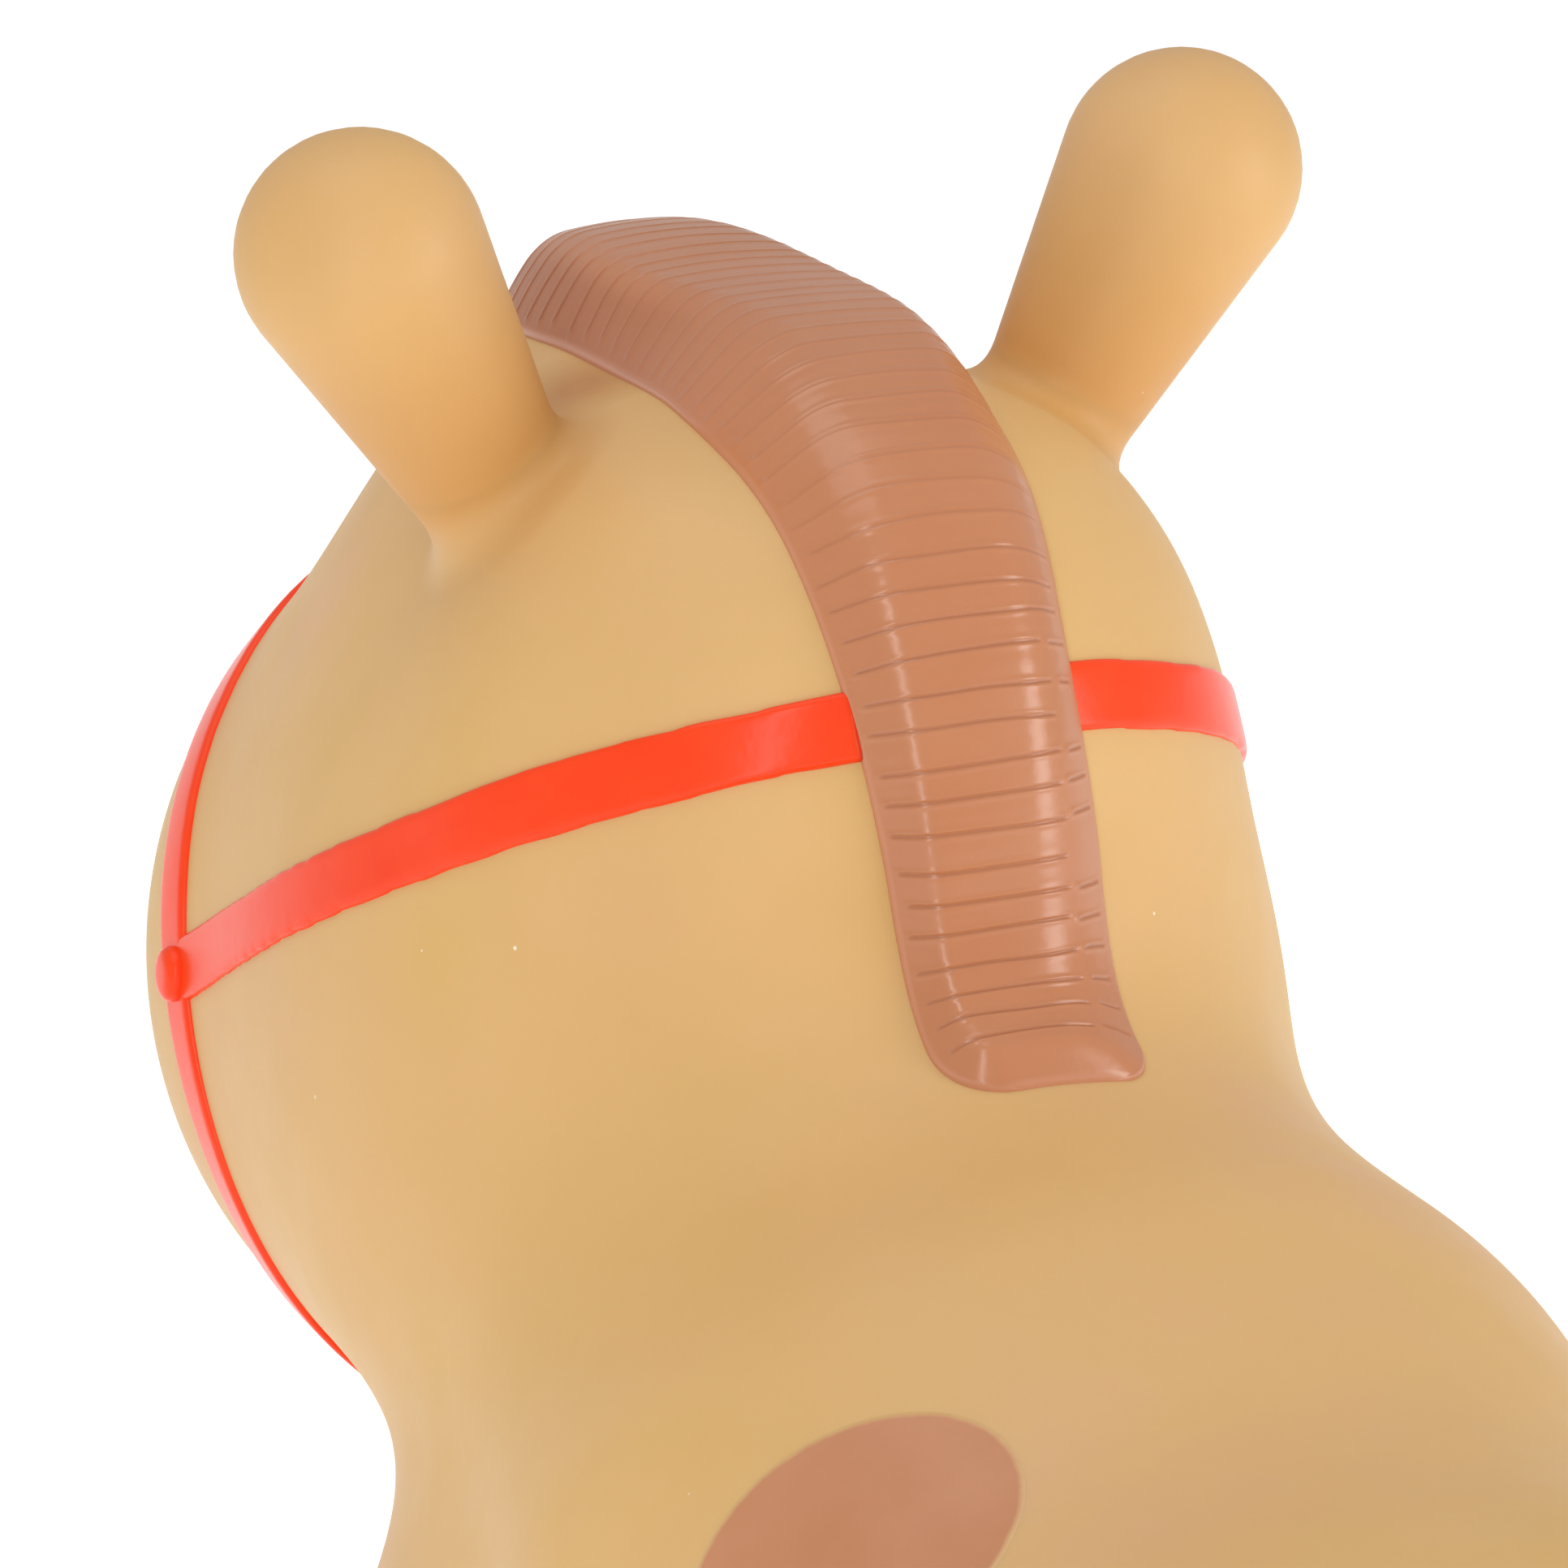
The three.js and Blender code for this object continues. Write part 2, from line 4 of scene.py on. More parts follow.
import bmesh
import bpy
import numpy as np
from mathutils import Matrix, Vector


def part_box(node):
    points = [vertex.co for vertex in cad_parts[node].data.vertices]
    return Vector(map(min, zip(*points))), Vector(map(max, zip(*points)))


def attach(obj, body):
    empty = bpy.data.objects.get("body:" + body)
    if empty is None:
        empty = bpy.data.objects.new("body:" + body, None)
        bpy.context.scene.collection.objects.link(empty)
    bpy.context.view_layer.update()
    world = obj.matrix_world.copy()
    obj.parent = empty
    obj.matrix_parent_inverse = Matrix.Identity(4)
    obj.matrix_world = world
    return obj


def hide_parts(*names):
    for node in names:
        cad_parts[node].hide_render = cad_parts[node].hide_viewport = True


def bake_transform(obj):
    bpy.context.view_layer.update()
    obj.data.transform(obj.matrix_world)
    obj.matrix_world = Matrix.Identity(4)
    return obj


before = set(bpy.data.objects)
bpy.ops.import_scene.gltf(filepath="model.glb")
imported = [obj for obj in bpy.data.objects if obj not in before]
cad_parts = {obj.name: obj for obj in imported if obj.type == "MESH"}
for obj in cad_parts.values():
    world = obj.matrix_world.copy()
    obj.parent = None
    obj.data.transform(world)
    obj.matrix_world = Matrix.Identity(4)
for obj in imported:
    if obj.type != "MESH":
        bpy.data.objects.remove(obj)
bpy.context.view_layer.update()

MM = 0.001
ON_PLANE, SAME_PLACE = 1e-7, 1e-6  # metres: closer than this is on a plane, or one place
RNG = np.random.default_rng(7)


# ---- Sizes in millimetres, in the frame of the CAD model ----

SHIFT = 6.2  # the design's origin lies this far in front of the frame's


def at(x, y, z):
    """A design place in the frame."""
    return np.array([x, y - SHIFT, z], float)


SKULL = (at(0, -178, 349), (68, 78, 100))
MUZZLE = (at(0, -104, 363), at(0, -203, 285), 87, 108)
NECK = (at(0, -118, 287), at(0, -53, 222), 109, 85)
POLL_HEIGHT = 445  # the top of the head is flattened at this level
TORSO = (at(0, 28, 241), at(0, 200, 198), 114, 103)
FLATTEN_HEIGHT, FLATTEN_FACTOR = 187, 0.82  # the belly and back are flatter than the sides
RUMP = (at(0, 205, 209), (113, 96, 92))
FRONT_LEG = (at(62, -45, 160), at(104, -55, 38), 66, 47)
HIND_LEG = (at(62, 210, 160), at(104, 220, 38), 66, 47)
EAR = (at(58.6, -120, 417), at(90.4, -117, 475), 15, 25.3)

# How softly each part blends into the ones before it
MUZZLE_BLEND, NECK_BLEND, POLL_BLEND = 30, 30, 20
TORSO_BLEND, RUMP_BLEND, LEG_BLEND, EAR_BLEND = 45, 50, 40, 9.0

SUNK = 1.2  # how far the border of a raised piece goes below the skin
HOOF_TOP = 34.0
LEG_TOP = 88.0
SKIN_LOW, SKIN_HIGH = (-172, -340, -24), (172, 340, 516)
SKIN_CELL = 3.0
RAY_REACH, RAY_STEP = 400.0, 2.0


# ---- The rounded form as a distance field ----

def smooth_union(a, b, blend):
    overlap = np.clip(blend - np.abs(a - b), 0, None) / blend
    return np.minimum(a, b) - overlap * overlap * blend / 4


def smooth_cut(a, b, blend):
    return -smooth_union(-a, -b, blend)


def ellipsoid(p, centre, radii):
    near = (p - centre) / np.array(radii, float)
    steep = near / np.array(radii, float)
    reach = np.linalg.norm(near, axis=-1)
    return reach * (reach - 1) / np.maximum(np.linalg.norm(steep, axis=-1), 1e-9)


def round_cone(p, start, end, r_start, r_end):
    axis = end - start
    length = np.linalg.norm(axis)
    away = p - start
    along = away @ axis / length
    across = np.sqrt(np.maximum((away * away).sum(-1) - along * along, 0))
    slope = (r_start - r_end) / length
    level = math.sqrt(1 - slope * slope)
    shifted = along * level - across * slope
    side = across * level + along * slope - r_start
    first = np.linalg.norm(away, axis=-1) - r_start
    last = np.linalg.norm(p - end, axis=-1) - r_end
    return np.where(shifted < 0, first, np.where(shifted > length * level, last, side))


def mirrored(p):
    q = p.copy()
    q[..., 0] = np.abs(q[..., 0])
    return q


def ear_axis(side):
    start, end = EAR[0] * (side, 1, 1), EAR[1] * (side, 1, 1)
    return start, unit(end - start)


def body_field(p):
    """Distance to the skin without the ears."""
    q = mirrored(p)
    flat = p.copy()
    flat[..., 2] = FLATTEN_HEIGHT + (p[..., 2] - FLATTEN_HEIGHT) / FLATTEN_FACTOR
    d = ellipsoid(p, *SKULL)
    d = smooth_union(d, round_cone(p, *MUZZLE), MUZZLE_BLEND)
    d = smooth_union(d, round_cone(p, *NECK), NECK_BLEND)
    d = smooth_cut(d, p[..., 2] - POLL_HEIGHT, POLL_BLEND)
    d = smooth_union(d, round_cone(flat, *TORSO) * FLATTEN_FACTOR, TORSO_BLEND)
    d = smooth_union(d, ellipsoid(p, *RUMP), RUMP_BLEND)
    for leg in (FRONT_LEG, HIND_LEG):
        d = smooth_union(d, round_cone(q, *leg), LEG_BLEND)
    return d


def whole_field(p):
    return smooth_union(body_field(p), round_cone(mirrored(p), *EAR), EAR_BLEND)


def gradient(field, p, step=0.4):
    parts = []
    for axis in range(3):
        move = np.zeros(3)
        move[axis] = step
        parts.append(field(p + move) - field(p - move))
    return np.stack(parts, -1) / (2 * step)


def unit(v):
    return v / np.maximum(np.linalg.norm(v, axis=-1, keepdims=True), 1e-9)


def settle(p, field=body_field, passes=4, hold_x=False):
    """The nearest places on the skin; hold_x keeps their distance from the middle plane."""
    q = np.array(p, float)
    for _ in range(passes):
        slope = gradient(field, q)
        if hold_x:
            slope[..., 0] = 0
        q -= slope * (field(q) / np.maximum((slope * slope).sum(-1), 1e-6))[..., None]
    return q


def normals(p, field=body_field):
    return unit(gradient(field, p))


def skin_along(origin, direction):
    """The outermost places on the skin along rays."""
    reach = np.arange(RAY_REACH, 0.0, -RAY_STEP)
    line = origin[..., None, :] + direction[..., None, :] * reach[:, None]
    inside = body_field(line) < 0
    first = reach[np.argmax(inside, axis=-1)]
    return settle(origin + direction * first[..., None])


# ---- Meshes ----

def surface_net(field, low, high, cell):
    """Vertices and quads of a field's zero level, with a vertex in each cell it passes through."""
    axes = [np.arange(lo, hi + cell, cell) for lo, hi in zip(low, high)]
    shape = tuple(len(a) for a in axes)
    values = np.empty(shape)
    for i, x in enumerate(axes[0]):
        plane = np.stack(np.meshgrid([x], axes[1], axes[2], indexing="ij"), -1)[0]
        values[i] = field(plane)
    cells = tuple(n - 1 for n in shape)
    total = np.zeros(cells + (3,))
    count = np.zeros(cells)
    corners = [(i, j, k) for i in (0, 1) for j in (0, 1) for k in (0, 1)]

    def part(corner):
        return values[tuple(slice(c, c + n) for c, n in zip(corner, cells))]

    for a in corners:
        for axis in range(3):
            if a[axis]:
                continue
            b = tuple(c + (1 if n == axis else 0) for n, c in enumerate(a))
            va, vb = part(a), part(b)
            crossed = (va < 0) != (vb < 0)
            share = np.where(crossed, va / np.where(crossed, va - vb, 1), 0)
            for n in range(3):
                total[..., n] += np.where(crossed, a[n] + (share if n == axis else 0), 0)
            count += crossed
    used = count > 0
    index = np.full(cells, -1)
    index[used] = np.arange(used.sum())
    where = np.argwhere(used)
    origin = np.array([a[0] for a in axes])
    verts = origin + (where + total[used] / count[used][:, None]) * cell
    quads = []
    inside = values < 0
    for axis in range(3):
        u, v = (axis + 1) % 3, (axis + 2) % 3
        here = [slice(1, None)] * 3
        here[axis] = slice(0, -1)
        there = list(here)
        there[axis] = slice(1, None)
        flips = inside[tuple(here)] != inside[tuple(there)]
        base = np.argwhere(flips)
        base[:, u] += 1
        base[:, v] += 1
        keep = (base[:, u] < cells[u]) & (base[:, v] < cells[v])
        base = base[keep]
        step_u = np.eye(3, dtype=int)[u]
        step_v = np.eye(3, dtype=int)[v]
        ring = np.stack(
            [index[tuple((base - s).T)] for s in (0 * step_u, step_u, step_u + step_v, step_v)], -1
        )
        out = inside[tuple(base.T)]
        ring[~out] = ring[~out][:, ::-1]
        quads.append(ring)
    return settle(verts, field, 3), np.concatenate(quads)


def new_mesh(name, verts, faces):
    """A smooth-shaded object from places in millimetres."""
    mesh = bpy.data.meshes.new(name)
    mesh.from_pydata((np.asarray(verts) * MM).tolist(), [], [list(map(int, f)) for f in faces])
    mesh.validate()
    mesh.polygons.foreach_set("use_smooth", np.ones(len(mesh.polygons), bool))
    piece = bpy.data.objects.new(name, mesh)
    bpy.context.scene.collection.objects.link(piece)
    return piece


def places(piece):
    co = np.empty(len(piece.data.vertices) * 3)
    piece.data.vertices.foreach_get("co", co)
    return co.reshape(-1, 3) / MM


def set_normals(piece, field):
    piece.data.normals_split_custom_set_from_vertices(normals(places(piece), field).tolist())


def attribute(piece, name, values):
    layer = piece.data.attributes.new(name, "FLOAT", "POINT")
    layer.data.foreach_set("value", np.asarray(values, np.float32).ravel())


def cut(mesh, place, direction):
    """Keeps the side of a bmesh that the direction points to, and closes the cut."""
    geometry = mesh.verts[:] + mesh.edges[:] + mesh.faces[:]
    done = bmesh.ops.bisect_plane(
        mesh, geom=geometry, dist=ON_PLANE, plane_co=Vector(place) * MM, plane_no=Vector(direction),
        clear_inner=True,
    )
    rim = [e for e in done["geom_cut"] if isinstance(e, bmesh.types.BMEdge)]
    if rim:
        bmesh.ops.contextual_create(mesh, geom=rim)


def grid_piece(name, rows, lift, closed=False):
    """A raised piece over rows and columns of places on the skin, closed below the skin."""
    facing = normals(rows)
    top = rows + facing * lift[..., None]
    sunk = rows[:, [0, -1]] - facing[:, [0, -1]] * SUNK
    count, columns = rows.shape[:2]
    grid = np.arange(count * columns).reshape(count, columns)
    left = grid.size + 2 * np.arange(count)
    right = left + 1
    faces = []
    for i in range(count if closed else count - 1):
        j = (i + 1) % count
        for k in range(columns - 1):
            faces.append((grid[i, k], grid[i, k + 1], grid[j, k + 1], grid[j, k]))
        faces.append((grid[i, 0], grid[j, 0], left[j], left[i]))
        faces.append((grid[j, -1], grid[i, -1], right[i], right[j]))
        faces.append((left[i], left[j], right[j], right[i]))
    if not closed:
        faces.append((left[0], right[0], *grid[0, ::-1]))
        faces.append((right[-1], left[-1], *grid[-1]))
    piece = new_mesh(name, np.concatenate([top.reshape(-1, 3), sunk.reshape(-1, 3)]), faces)
    mesh = bmesh.new()
    mesh.from_mesh(piece.data)
    bmesh.ops.recalc_face_normals(mesh, faces=mesh.faces[:])
    mesh.to_mesh(piece.data)
    mesh.free()
    return piece


def grid_attribute(piece, name, values):
    """A value at each place of the grid, and none on the hidden border below the skin."""
    attribute(piece, name, np.concatenate([values.ravel(), np.zeros(2 * len(values))]))


def band_rows(path, offsets, closed=False, hold_x=False):
    """Places on the skin beside a path: a row for each of its points, a column for each offset."""
    if closed:
        along = np.roll(path, -1, 0) - np.roll(path, 1, 0)
    else:
        along = np.gradient(path, axis=0)
    across = unit(np.cross(along, normals(path)))
    offsets = np.broadcast_to(offsets, (len(path), np.shape(offsets)[-1]))
    return settle(path[:, None, :] + across[:, None, :] * offsets[..., None], hold_x=hold_x)


def resampled(path, count):
    """The same path with evenly spaced points."""
    steps = np.linalg.norm(np.diff(path, axis=0), axis=1)
    run = np.concatenate([[0], np.cumsum(steps)])
    even = np.linspace(0, run[-1], count)
    return np.stack([np.interp(even, run, path[:, n]) for n in range(3)], -1)


def smoothstep(low, high, x):
    t = np.clip((x - low) / (high - low), 0, 1)
    return t * t * (3 - 2 * t)


# ---- Materials ----

def material(name, color, roughness, **sockets):
    """A Principled material and helpers for its nodes."""
    made = bpy.data.materials.new(name)
    made.use_nodes = True
    shader = made.node_tree.nodes["Principled BSDF"]
    shader.inputs["Base Color"].default_value = (*color, 1)
    shader.inputs["Roughness"].default_value = roughness
    for socket, value in sockets.items():
        shader.inputs[socket.replace("_", " ")].default_value = value
    return made, made.node_tree, shader


def linear(channel):
    """One channel of a display colour, 0 to 255, as linear."""
    c = channel / 255
    return c / 12.92 if c <= 0.04045 else ((c + 0.055) / 1.055) ** 2.4


def srgb(r, g, b):
    return linear(r), linear(g), linear(b)


def node(tree, kind, inputs=None, **settings):
    made = tree.nodes.new(kind)
    for key, value in settings.items():
        setattr(made, key, value)
    for key, value in (inputs or {}).items():
        if isinstance(value, bpy.types.NodeSocket):
            tree.links.new(value, made.inputs[key])
        else:
            made.inputs[key].default_value = value
    return made


def noise(tree, scale, detail=2.0, roughness=0.5):
    where = node(tree, "ShaderNodeTexCoord").outputs["Object"]
    inputs = {"Vector": where, "Scale": scale, "Detail": detail, "Roughness": roughness}
    return node(tree, "ShaderNodeTexNoise", inputs).outputs["Fac"]


def ramp(tree, value, low, high, out_low=0.0, out_high=1.0):
    return node(
        tree, "ShaderNodeMapRange",
        {"Value": value, "From Min": low, "From Max": high, "To Min": out_low, "To Max": out_high},
    ).outputs["Result"]


def mix(tree, factor, first, second):
    made = node(tree, "ShaderNodeMix", data_type="RGBA")
    for socket, value in ((0, factor), (6, first), (7, second)):
        if isinstance(value, bpy.types.NodeSocket):
            tree.links.new(value, made.inputs[socket])
        else:
            made.inputs[socket].default_value = (*value, 1) if socket else value
    return made.outputs[2]


def bump(tree, shader, height, distance, strength=1.0):
    made = node(
        tree, "ShaderNodeBump", {"Height": height, "Distance": distance, "Strength": strength}
    )
    tree.links.new(made.outputs["Normal"], shader.inputs["Normal"])


SKIN = srgb(222, 179, 118)
SKIN_PINK = srgb(221, 176, 127)
SKIN_YELLOW = srgb(219, 177, 108)
# painted shade: the dark orange at the roots of the ears
SKIN_EAR_ROOT_SHADE = srgb(204, 144, 72)
# painted shade: the darkening in the dip between each ear and the mane
SKIN_HOLLOW_SHADE = srgb(170, 94, 30)
BROWN = srgb(198, 132, 92)
# the brown in painted shade
BROWN_IN_SHADE = srgb(160, 94, 62)
BROWN_PINK = srgb(210, 148, 118)
RED = srgb(254, 75, 32)
EAR_HOLLOW = at(36, -140, 437)  # the dip between the ear's root and the mane, where painted shade darkens the skin


def ear_root_painted_shade(tree, where):
    """How much painted shade, dark orange, the skin gets: most low on the ears, less towards their
    tips, none on the head.
    """
    root, axis = ear_axis(1)
    away = node(
        tree, "ShaderNodeVectorMath", {0: where, 1: tuple(root * MM)}, operation="SUBTRACT"
    ).outputs["Vector"]
    along = node(
        tree, "ShaderNodeVectorMath", {0: away, 1: tuple(axis)}, operation="DOT_PRODUCT"
    ).outputs["Value"]
    beside = node(
        tree, "ShaderNodeVectorMath", {0: away, 1: tuple(axis)}, operation="CROSS_PRODUCT"
    ).outputs["Vector"]
    radius = node(tree, "ShaderNodeVectorMath", {0: beside}, operation="LENGTH").outputs["Value"]
    near = ramp(tree, radius, 0.022, 0.03, 1.0, 0.0)
    risen = ramp(tree, along, 0.0, 0.014)
    fading = ramp(tree, along, 0.02, 0.062, 0.62, 0.16)
    both = node(tree, "ShaderNodeMath", {0: near, 1: risen}, operation="MULTIPLY").outputs[0]
    return node(tree, "ShaderNodeMath", {0: both, 1: fading}, operation="MULTIPLY").outputs[0]


def skin_colour(tree):
    """Tan with broad pink and yellow drifts and a few pale specks, with painted shade at the ear
    roots and in the dip between each ear and the mane.
    """
    drift = ramp(tree, noise(tree, 9, 2), 0.35, 0.65)
    color = mix(tree, drift, SKIN_PINK, SKIN_YELLOW)
    color = mix(tree, ramp(tree, noise(tree, 31, 3), 0.3, 0.7), color, SKIN)
    where = node(tree, "ShaderNodeTexCoord").outputs["Object"]
    apart = node(tree, "ShaderNodeSeparateXYZ", {"Vector": where}).outputs
    beside = node(tree, "ShaderNodeMath", {0: apart["X"]}, operation="ABSOLUTE").outputs[0]
    folded = node(
        tree, "ShaderNodeCombineXYZ", {"X": beside, "Y": apart["Y"], "Z": apart["Z"]}
    ).outputs["Vector"]
    # painted shade at the roots of the ears
    color = mix(tree, ear_root_painted_shade(tree, folded), color, SKIN_EAR_ROOT_SHADE)
    # painted shade in the dip between each ear and the mane
    hollow = node(
        tree, "ShaderNodeVectorMath", {0: folded, 1: tuple(EAR_HOLLOW * MM)}, operation="DISTANCE"
    ).outputs["Value"]
    color = mix(tree, ramp(tree, hollow, 0.004, 0.022, 0.55, 0.0), color, SKIN_HOLLOW_SHADE)
    cells = node(
        tree, "ShaderNodeTexVoronoi", {"Vector": where, "Scale": 95.0}, feature="F1"
    ).outputs["Distance"]
    rare = ramp(tree, noise(tree, 47, 0), 0.66, 0.7)
    fleck = node(
        tree, "ShaderNodeMath", {0: ramp(tree, cells, 0.05, 0.035), 1: rare}, operation="MULTIPLY"
    )
    return mix(tree, fleck.outputs[0], color, srgb(245, 232, 205))


def skin_material():
    made, tree, shader = material(
        "skin_pvc", SKIN, 0.48, Subsurface_Weight=0.12, Subsurface_Scale=0.012,
        Specular_IOR_Level=0.32,
    )
    shader.inputs["Subsurface Radius"].default_value = (1.0, 0.55, 0.3)
    tree.links.new(skin_colour(tree), shader.inputs["Base Color"])
    gloss = ramp(tree, noise(tree, 60, 3), 0.2, 0.8, 0.42, 0.54)
    tree.links.new(gloss, shader.inputs["Roughness"])
    bump(tree, shader, noise(tree, 420, 3, 0.6), 0.00012, 0.5)
    return made


def brown_material():
    made, tree, shader = material(
        "brown_pvc", BROWN, 0.24, Subsurface_Weight=0.08, Subsurface_Scale=0.006,
        Specular_IOR_Level=0.5,
    )
    shader.inputs["Subsurface Radius"].default_value = (1.0, 0.5, 0.3)
    color = mix(tree, ramp(tree, noise(tree, 45, 3), 0.2, 0.8), BROWN, srgb(194, 126, 86))
    # painted shade from the shade attribute: in the mane's scored lines, on its left wall near the
    # forehead and between the tail's locks
    shade = node(tree, "ShaderNodeAttribute", attribute_name="shade").outputs["Fac"]
    color = mix(tree, shade, color, BROWN_IN_SHADE)
    rim = node(tree, "ShaderNodeAttribute", attribute_name="rim").outputs["Fac"]
    color = mix(tree, rim, color, BROWN_PINK)
    tree.links.new(color, shader.inputs["Base Color"])
    gloss = ramp(tree, noise(tree, 80, 2), 0.1, 0.9, 0.2, 0.3)
    tree.links.new(gloss, shader.inputs["Roughness"])
    bump(tree, shader, noise(tree, 500, 2), 0.0001, 0.4)
    return made


def spot_material():
    """Brown paint whose edge fades into the skin over about a millimetre."""
    made, tree, shader = material(
        "spot_paint", BROWN, 0.38, Subsurface_Weight=0.08, Subsurface_Scale=0.006,
        Specular_IOR_Level=0.4,
    )
    shader.inputs["Subsurface Radius"].default_value = (1.0, 0.5, 0.3)
    drift = ramp(tree, noise(tree, 40, 3), 0.3, 0.7)
    color = mix(tree, drift, srgb(204, 140, 102), srgb(198, 133, 93))
    margin = node(tree, "ShaderNodeAttribute", attribute_name="margin").outputs["Fac"]
    wander = ramp(tree, noise(tree, 300, 2), 0.3, 0.7, -0.15, 0.15)
    edge = node(tree, "ShaderNodeMath", {0: margin, 1: wander}, operation="ADD").outputs[0]
    color = mix(tree, ramp(tree, edge, 0.25, 1.5), skin_colour(tree), color)
    tree.links.new(color, shader.inputs["Base Color"])
    bump(tree, shader, noise(tree, 420, 3, 0.6), 0.00012, 0.5)
    return made


def strap_material():
    made, tree, shader = material("strap_pvc", RED, 0.24, Specular_IOR_Level=0.2)
    color = mix(tree, ramp(tree, noise(tree, 70, 3), 0.2, 0.8), RED, srgb(250, 66, 25))
    tree.links.new(color, shader.inputs["Base Color"])
    bump(tree, shader, noise(tree, 260, 2), 0.0002, 0.35)
    return made


def plain_material(name, color, roughness, drift, grain):
    """Moulded plastic with a slow change of colour and a fine grain."""
    made, tree, shader = material(name, color, roughness)
    darker = tuple(c * drift for c in color)
    change = ramp(tree, noise(tree, 120, 3), 0.3, 0.7)
    tree.links.new(mix(tree, change, color, darker), shader.inputs["Base Color"])
    bump(tree, shader, noise(tree, grain, 2), 0.0001, 0.3)
    return made


SKIN_PVC = skin_material()
BROWN_PVC = brown_material()
SPOT_PAINT = spot_material()
STRAP_PVC = strap_material()
EYE_WHITE = plain_material("eye_white", srgb(243, 239, 230), 0.25, 0.96, 300)
EYE_BLACK = plain_material("eye_black", srgb(29, 26, 24), 0.15, 0.8, 300)
NOSTRIL_PAINT = plain_material("nostril_paint", srgb(168, 104, 76), 0.4, 0.9, 300)
VALVE_PLASTIC = plain_material("valve_plastic", srgb(233, 228, 216), 0.45, 0.95, 500)


def finish_piece(piece, look, slot, body, *nodes):
    piece.data.materials.clear()
    piece.data.materials.append(look)
    if body:
        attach(piece, body)
    if nodes:
        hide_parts(*nodes)
    return piece


# ---- Skin: body, ears, legs and hooves ----

EAR_SPLIT = 15.0  # distance up the ear where its own piece starts
EAR_HALF = 20  # the part of the head beyond this, on either side, holds the ear
EAR_ROOT_REACH = 34.0
UPWARD, DOWNWARD = (0, 0, 1), (0, 0, -1)


def split_skin():
    verts, quads = surface_net(whole_field, SKIN_LOW, SKIN_HIGH, SKIN_CELL)
    whole = new_mesh("skin_whole", verts, quads)
    source = bmesh.new()
    source.from_mesh(whole.data)
    bpy.data.objects.remove(whole)
    refine_ear_roots(source)
    return source


def refine_ear_roots(mesh):
    """Smaller faces where the ears turn into the head."""
    root = ear_axis(1)[0] * MM

    def near_root(vertex):
        x, y, z = vertex.co
        return math.dist((abs(x), y, z), root) < EAR_ROOT_REACH * MM

    near = [edge for edge in mesh.edges if all(near_root(v) for v in edge.verts)]
    bmesh.ops.subdivide_edges(mesh, edges=near, cuts=1, use_grid_fill=True)
    inner = [v for v in mesh.verts if near_root(v)]
    settled = settle(np.array([v.co for v in inner]) / MM, whole_field) * MM
    for vertex, place in zip(inner, settled):
        vertex.co = place


def mesh_object(name, mesh):
    """A smooth-shaded object from a bmesh, which is freed."""
    made = bpy.data.meshes.new(name)
    mesh.to_mesh(made)
    mesh.free()
    made.polygons.foreach_set("use_smooth", np.ones(len(made.polygons), bool))
    piece = bpy.data.objects.new(name, made)
    bpy.context.scene.collection.objects.link(piece)
    return piece


def skin_piece(source, name, cuts):
    """A closed piece of the skin: what is left after each cut (place, direction)."""
    mesh = source.copy()
    for place, direction in cuts:
        cut(mesh, place, direction)
    return mesh_object(name, mesh)


def half_beside(mesh, x, side):
    """The part of a bmesh past an upright plane, on one side of it, left open there."""
    half = mesh.copy()
    bmesh.ops.bisect_plane(
        half, geom=half.verts[:] + half.edges[:] + half.faces[:], dist=ON_PLANE,
        plane_co=Vector((x * MM, 0, 0)), plane_no=Vector((side, 0, 0)), clear_inner=True,
    )
    return half


def make_body(source, ear_cuts):
    """The skin without ears and legs. Only the part of the head with an ear is cut for it."""
    trimmed = source.copy()
    cut(trimmed, (0, 0, LEG_TOP), UPWARD)
    for _, side, place, axis in ear_cuts:
        ear_part = half_beside(trimmed, EAR_HALF * side, side)
        rest = half_beside(trimmed, EAR_HALF * side, -side)
        cut(ear_part, place, -axis)
        joined = bpy.data.meshes.new("joined")
        ear_part.to_mesh(joined)
        rest.from_mesh(joined)
        bpy.data.meshes.remove(joined)
        bmesh.ops.remove_doubles(rest, verts=rest.verts[:], dist=SAME_PLACE)
        ear_part.free()
        trimmed.free()
        trimmed = rest
    piece = mesh_object("body_skin", trimmed)
    set_normals(piece, whole_field)
    finish_piece(piece, SKIN_PVC, "skin_pvc", "body", "body_shell")


def make_ear(source, name, side, place, axis):
    own_part = ((EAR_HALF * side, 0, 0), (side, 0, 0))
    ear = skin_piece(source, f"ear_skin_{name}", [own_part, (place, axis)])
    set_normals(ear, whole_field)
    finish_piece(ear, SKIN_PVC, "skin_pvc", None, f"ear_{name}")
    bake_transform(ear)


MIDDLE_Y = 0.5 * (FRONT_LEG[0][1] + HIND_LEG[0][1])


def make_leg(source, name, side, rear):
    """The skin of a leg above its hoof, and the hoof. rear is 1 for a hind leg and -1 for a front
    leg.
    """
    quarter = [((0, 0, 0), (side, 0, 0)), ((0, MIDDLE_Y, 0), (0, rear, 0))]
    shin_cuts = [((0, 0, LEG_TOP), DOWNWARD), *quarter, ((0, 0, HOOF_TOP), UPWARD)]
    shin = skin_piece(source, f"leg_skin_{name}", shin_cuts)
    set_normals(shin, whole_field)
    finish_piece(shin, SKIN_PVC, "skin_pvc", None, f"leg_{name}")
    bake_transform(shin)
    hoof_cuts = [((0, 0, HOOF_TOP), DOWNWARD), *quarter, ((0, 0, 0), UPWARD)]
    hoof = skin_piece(source, f"hoof_skin_{name}", hoof_cuts)
    finish_piece(hoof, BROWN_PVC, "brown_pvc", f"hoof_{name}", f"hoof_{name}")


